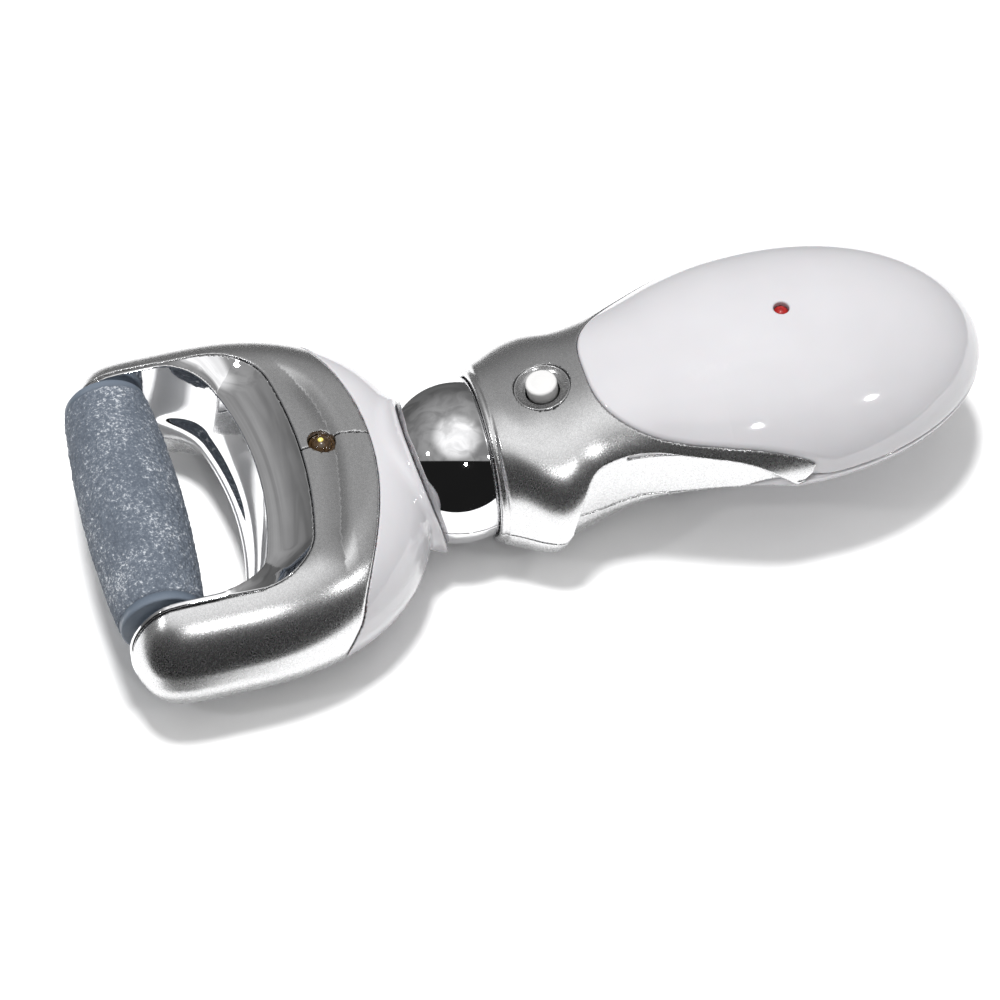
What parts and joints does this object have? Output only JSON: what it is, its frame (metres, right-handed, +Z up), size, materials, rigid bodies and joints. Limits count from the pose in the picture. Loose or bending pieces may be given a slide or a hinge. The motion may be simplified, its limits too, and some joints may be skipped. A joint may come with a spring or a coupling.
{
  "type": "electric callus remover",
  "caption": "Hand-held electric callus remover: a mineral roller held in a U-shaped head that tilts on a ball neck, with a rounded rechargeable handle and a push button.",
  "frame": {"origin": "middle of the overall length and width, on the plane that the underside rests on", "axes": "+X from the roller to the tail of the handle, +Y across the width, +Z up from the underside"},
  "size_m": [0.1846, 0.078, 0.0438],
  "materials": {
    "white_plastic": "gloss",
    "silver_paint": "satin",
    "chrome": "polished",
    "mineral_roller": "matte",
    "roller_plastic": "satin",
    "grey_plastic": "satin",
    "black_plastic": "satin",
    "gear_plastic": "satin",
    "steel": "brushed",
    "bronze": "satin",
    "board_green": "satin",
    "cell_wrap": "gloss",
    "red_lens": "clear",
    "clear_lens": "clear"
  },
  "bodies": {
    "handle": {"handle_top_dome": "white_plastic", "handle_bottom_shell": "white_plastic", "collar_top_shell": "silver_paint", "collar_bottom_shell": "silver_paint", "ball_top_shell": "chrome", "ball_bottom_shell": "chrome", "button_ring": "chrome", "charging_socket": "black_plastic", "battery_cradle": "black_plastic", "power_switch": "black_plastic", "pivot_axle": "steel", "pivot_washers": "steel", "handle_screws": "steel", "battery_contacts": "steel", "main_circuit_board": "board_green", "switch_board": "board_green", "battery_cell": "cell_wrap", "charge_light": "red_lens"},
    "roller": {"roller_shaft": "steel", "roller_core": "roller_plastic", "roller_sleeve": "mineral_roller", "roller_end_caps": "roller_plastic", "roller_gear": "gear_plastic"},
    "button": {"power_button": "white_plastic"},
    "pinion": {"motor_pinion": "steel"},
    "idler_one": {"first_idler_gear": "gear_plastic"},
    "idler_two": {"second_idler_gear": "gear_plastic"},
    "head": {"head_rear_shell": "white_plastic", "left_arm_cover": "silver_paint", "right_arm_cover": "silver_paint", "head_bottom_cover": "grey_plastic", "inner_bezel": "chrome", "head_light": "clear_lens", "head_light_board": "board_green", "head_chassis": "black_plastic", "motor": "steel", "reduction_gearbox": "black_plastic", "idler_pins": "steel", "roller_bushes": "bronze", "head_screws": "steel"}
  },
  "joints": [
    {"name": "head_tilt", "type": "hinge", "parent": "handle", "child": "head", "pos_m": [-0.01665, 0, 0.0174], "axis": [0, 1, 0], "range_deg": [-12, 12]},
    {"name": "roller_spin", "type": "hinge", "parent": "head", "child": "roller", "pos_m": [-0.08215, 0, 0.0229], "axis": [0, 1, 0], "continuous": true},
    {"name": "second_idler_spin", "type": "hinge", "parent": "head", "child": "idler_two", "pos_m": [-0.0735, 0, 0.01611], "axis": [0, 1, 0], "continuous": true},
    {"name": "first_idler_spin", "type": "hinge", "parent": "head", "child": "idler_one", "pos_m": [-0.0582, 0, 0.01785], "axis": [0, 1, 0], "continuous": true},
    {"name": "pinion_spin", "type": "hinge", "parent": "head", "child": "pinion", "pos_m": [-0.04785, 0, 0.0164], "axis": [0, 1, 0], "continuous": true},
    {"name": "button_press", "type": "slide", "parent": "handle", "child": "button", "axis": [0.1392, 0, -0.9903], "range_m": [0, 0.001], "stiffness_N_per_m": 1500, "springref_m": -0.0003}
  ],
  "couplings": [
    {"joint": "second_idler_spin", "follows": "roller_spin", "ratio": -0.42857},
    {"joint": "first_idler_spin", "follows": "roller_spin", "ratio": 0.42857},
    {"joint": "pinion_spin", "follows": "roller_spin", "ratio": -1.2}
  ]
}
